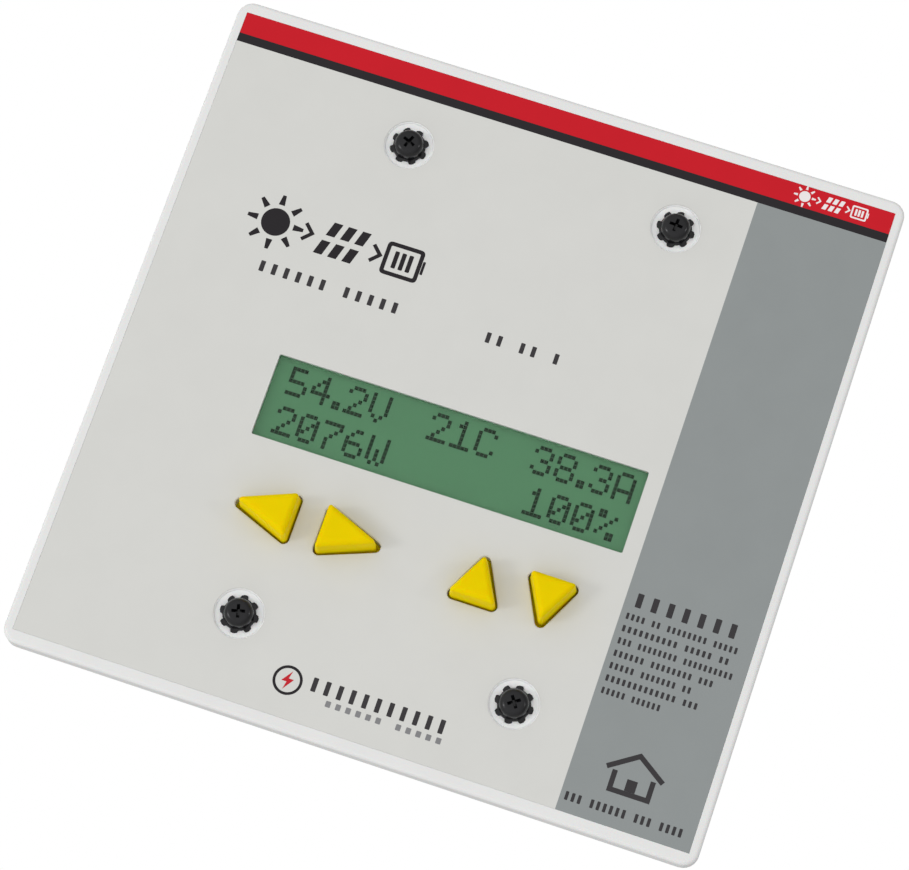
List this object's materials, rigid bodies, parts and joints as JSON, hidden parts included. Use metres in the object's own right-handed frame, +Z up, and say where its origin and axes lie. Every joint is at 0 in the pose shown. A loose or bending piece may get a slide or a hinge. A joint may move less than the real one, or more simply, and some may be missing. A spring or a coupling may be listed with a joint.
{
  "type": "flush-mounted charge controller meter",
  "caption": "Square wall plate with a dot-matrix display, arrow keys and fixing screws in wells, and a circuit board with a modular cable socket behind.",
  "frame": {"origin": "centre of the faceplate on the plane of the wall, which is the back of the faceplate's rim", "axes": "+Y into the wall, +Z up the wall, +X to the right as seen from in front"},
  "size_m": [0.1158, 0.0292, 0.115],
  "materials": {
    "white_plastic": "fine satin moulded plastic, off-white",
    "overlay_film": "printed film with a fine satin texture",
    "clear_pane": "clear hard-coated pane",
    "black_steel": "black oxide steel, satin",
    "key_yellow": "yellow moulded key, satin",
    "bright_steel": "bright tinned or plated steel",
    "display_green": "liquid crystal cell, green, semi-matte front film",
    "rubber_strip": "pale elastomer",
    "diffuser": "milky light guide",
    "board_green": "glass-fibre board with green solder mask",
    "black_plastic": "black moulded plastic or epoxy",
    "gold": "gold-plated spring wire",
    "capacitor_sleeve": "dark shrink sleeve over an aluminium can",
    "ferrite": "ferrite drum and lacquered copper winding"
  },
  "bodies": {
    "meter": {"faceplate": "white_plastic", "graphic_overlay": "overlay_film", "window_lens": "clear_pane", "display_frame": "bright_steel", "display_cell": "display_green", "contact_strip_upper": "rubber_strip", "contact_strip_lower": "rubber_strip", "light_guide": "diffuser", "backlight_lamp_left": "diffuser", "backlight_lamp_right": "diffuser", "circuit_board": "board_green", "cable_jack": "black_plastic", "microcontroller": "black_plastic", "crystal": "bright_steel", "display_driver_left": "black_plastic", "display_driver_right": "black_plastic", "capacitor_large": "capacitor_sleeve", "capacitor_small": "capacitor_sleeve", "power_inductor": "ferrite", "voltage_regulator": "black_plastic", "power_diode": "black_plastic", "serial_transceiver": "black_plastic", "mounting_screw_upper_left": "black_steel", "lock_washer_upper_left": "black_steel", "board_screw_upper_left": "bright_steel", "mounting_screw_upper_right": "black_steel", "lock_washer_upper_right": "black_steel", "board_screw_upper_right": "bright_steel", "mounting_screw_lower_left": "black_steel", "lock_washer_lower_left": "black_steel", "board_screw_lower_left": "bright_steel", "mounting_screw_lower_right": "black_steel", "lock_washer_lower_right": "black_steel", "board_screw_lower_right": "bright_steel", "switch_base_left": "black_plastic", "switch_base_right": "black_plastic", "switch_base_up": "black_plastic", "switch_base_down": "black_plastic", "jack_contact_1": "gold", "jack_contact_2": "gold", "jack_contact_3": "gold", "jack_contact_4": "gold"},
    "left_key": {"key_left": "key_yellow", "switch_plunger_left": "black_plastic"},
    "right_key": {"key_right": "key_yellow", "switch_plunger_right": "black_plastic"},
    "up_key": {"key_up": "key_yellow", "switch_plunger_up": "black_plastic"},
    "down_key": {"key_down": "key_yellow", "switch_plunger_down": "black_plastic"}
  },
  "joints": [
    {"name": "left_key_press", "type": "slide", "parent": "meter", "child": "left_key", "axis": [0, 1, 0], "range_m": [0, 0.0005], "stiffness_N_per_m": 1500},
    {"name": "right_key_press", "type": "slide", "parent": "meter", "child": "right_key", "axis": [0, 1, 0], "range_m": [0, 0.0005], "stiffness_N_per_m": 1500},
    {"name": "up_key_press", "type": "slide", "parent": "meter", "child": "up_key", "axis": [0, 1, 0], "range_m": [0, 0.0005], "stiffness_N_per_m": 1500},
    {"name": "down_key_press", "type": "slide", "parent": "meter", "child": "down_key", "axis": [0, 1, 0], "range_m": [0, 0.0005], "stiffness_N_per_m": 1500}
  ]
}
